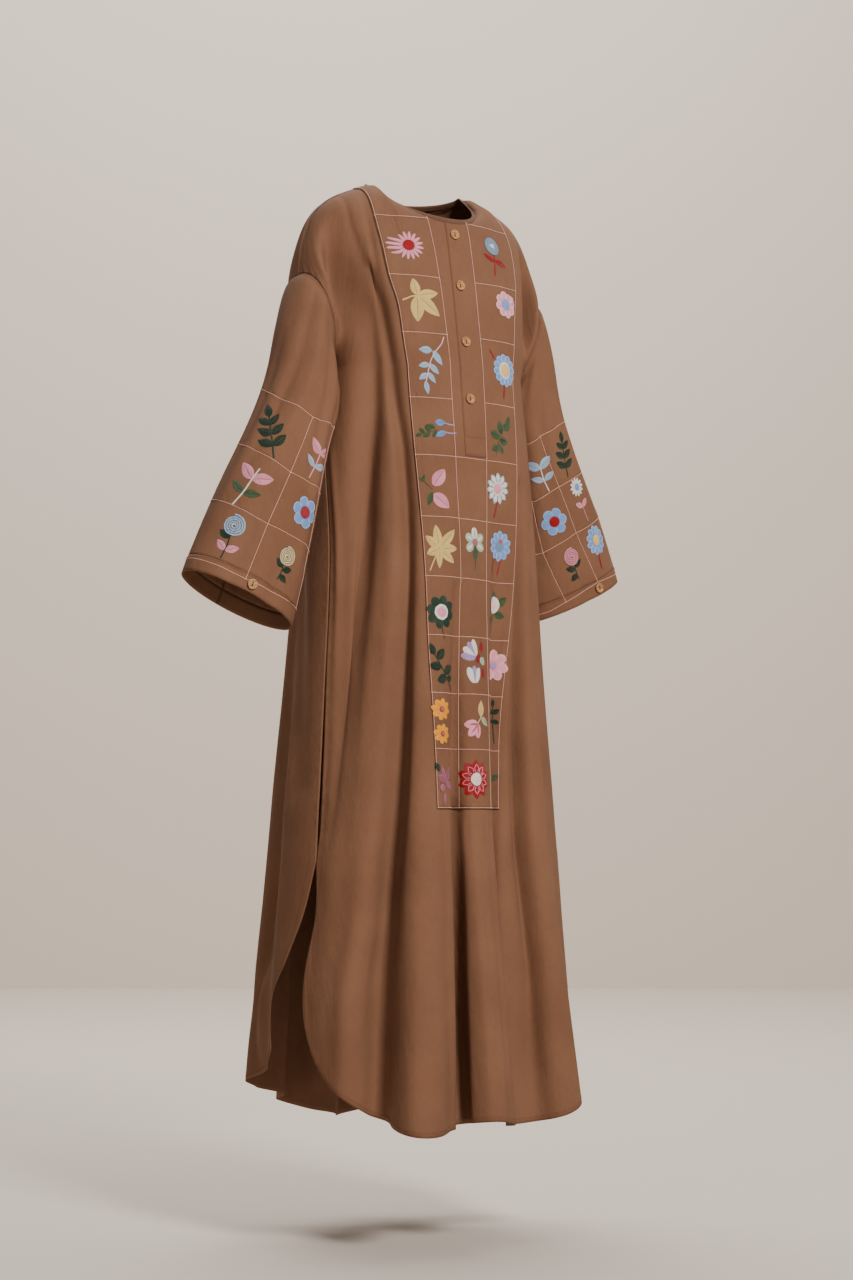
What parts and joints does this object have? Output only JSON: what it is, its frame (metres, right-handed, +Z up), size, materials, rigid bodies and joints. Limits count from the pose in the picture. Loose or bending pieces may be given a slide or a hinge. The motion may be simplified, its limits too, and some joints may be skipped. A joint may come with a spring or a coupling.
{
  "type": "long embroidered dress",
  "caption": "Long loose dress standing hollow as worn, with a round bound neck, buttoned embroidered front panel, wide embroidered sleeves and rounded side slits.",
  "frame": {"origin": "between the tops of the two shoulder seams at the neck, where the worn garment is held; on the middle line of the garment, at the height of the seams' neck ends", "axes": "+Z up along the wearer's body, -Y the front of the garment, -X the wearer's right side"},
  "size_m": [0.8178, 0.4396, 1.4154],
  "materials": {
    "cloth": "matte plain weave",
    "panel": "matte plain weave, embroidered",
    "binding": "matte bias strip",
    "button": "satin"
  },
  "bodies": {
    "root": {"front": "cloth", "back": "cloth", "front_panel": "panel", "button_stand": "panel", "neck_binding": "binding", "sleeve_right": "cloth", "cuff_right": "cloth", "button_cuff_right": "button", "sleeve_left": "cloth", "cuff_left": "cloth", "button_cuff_left": "button", "button_front_1": "button", "button_front_2": "button", "button_front_3": "button", "button_front_4": "button"}
  },
  "joints": []
}
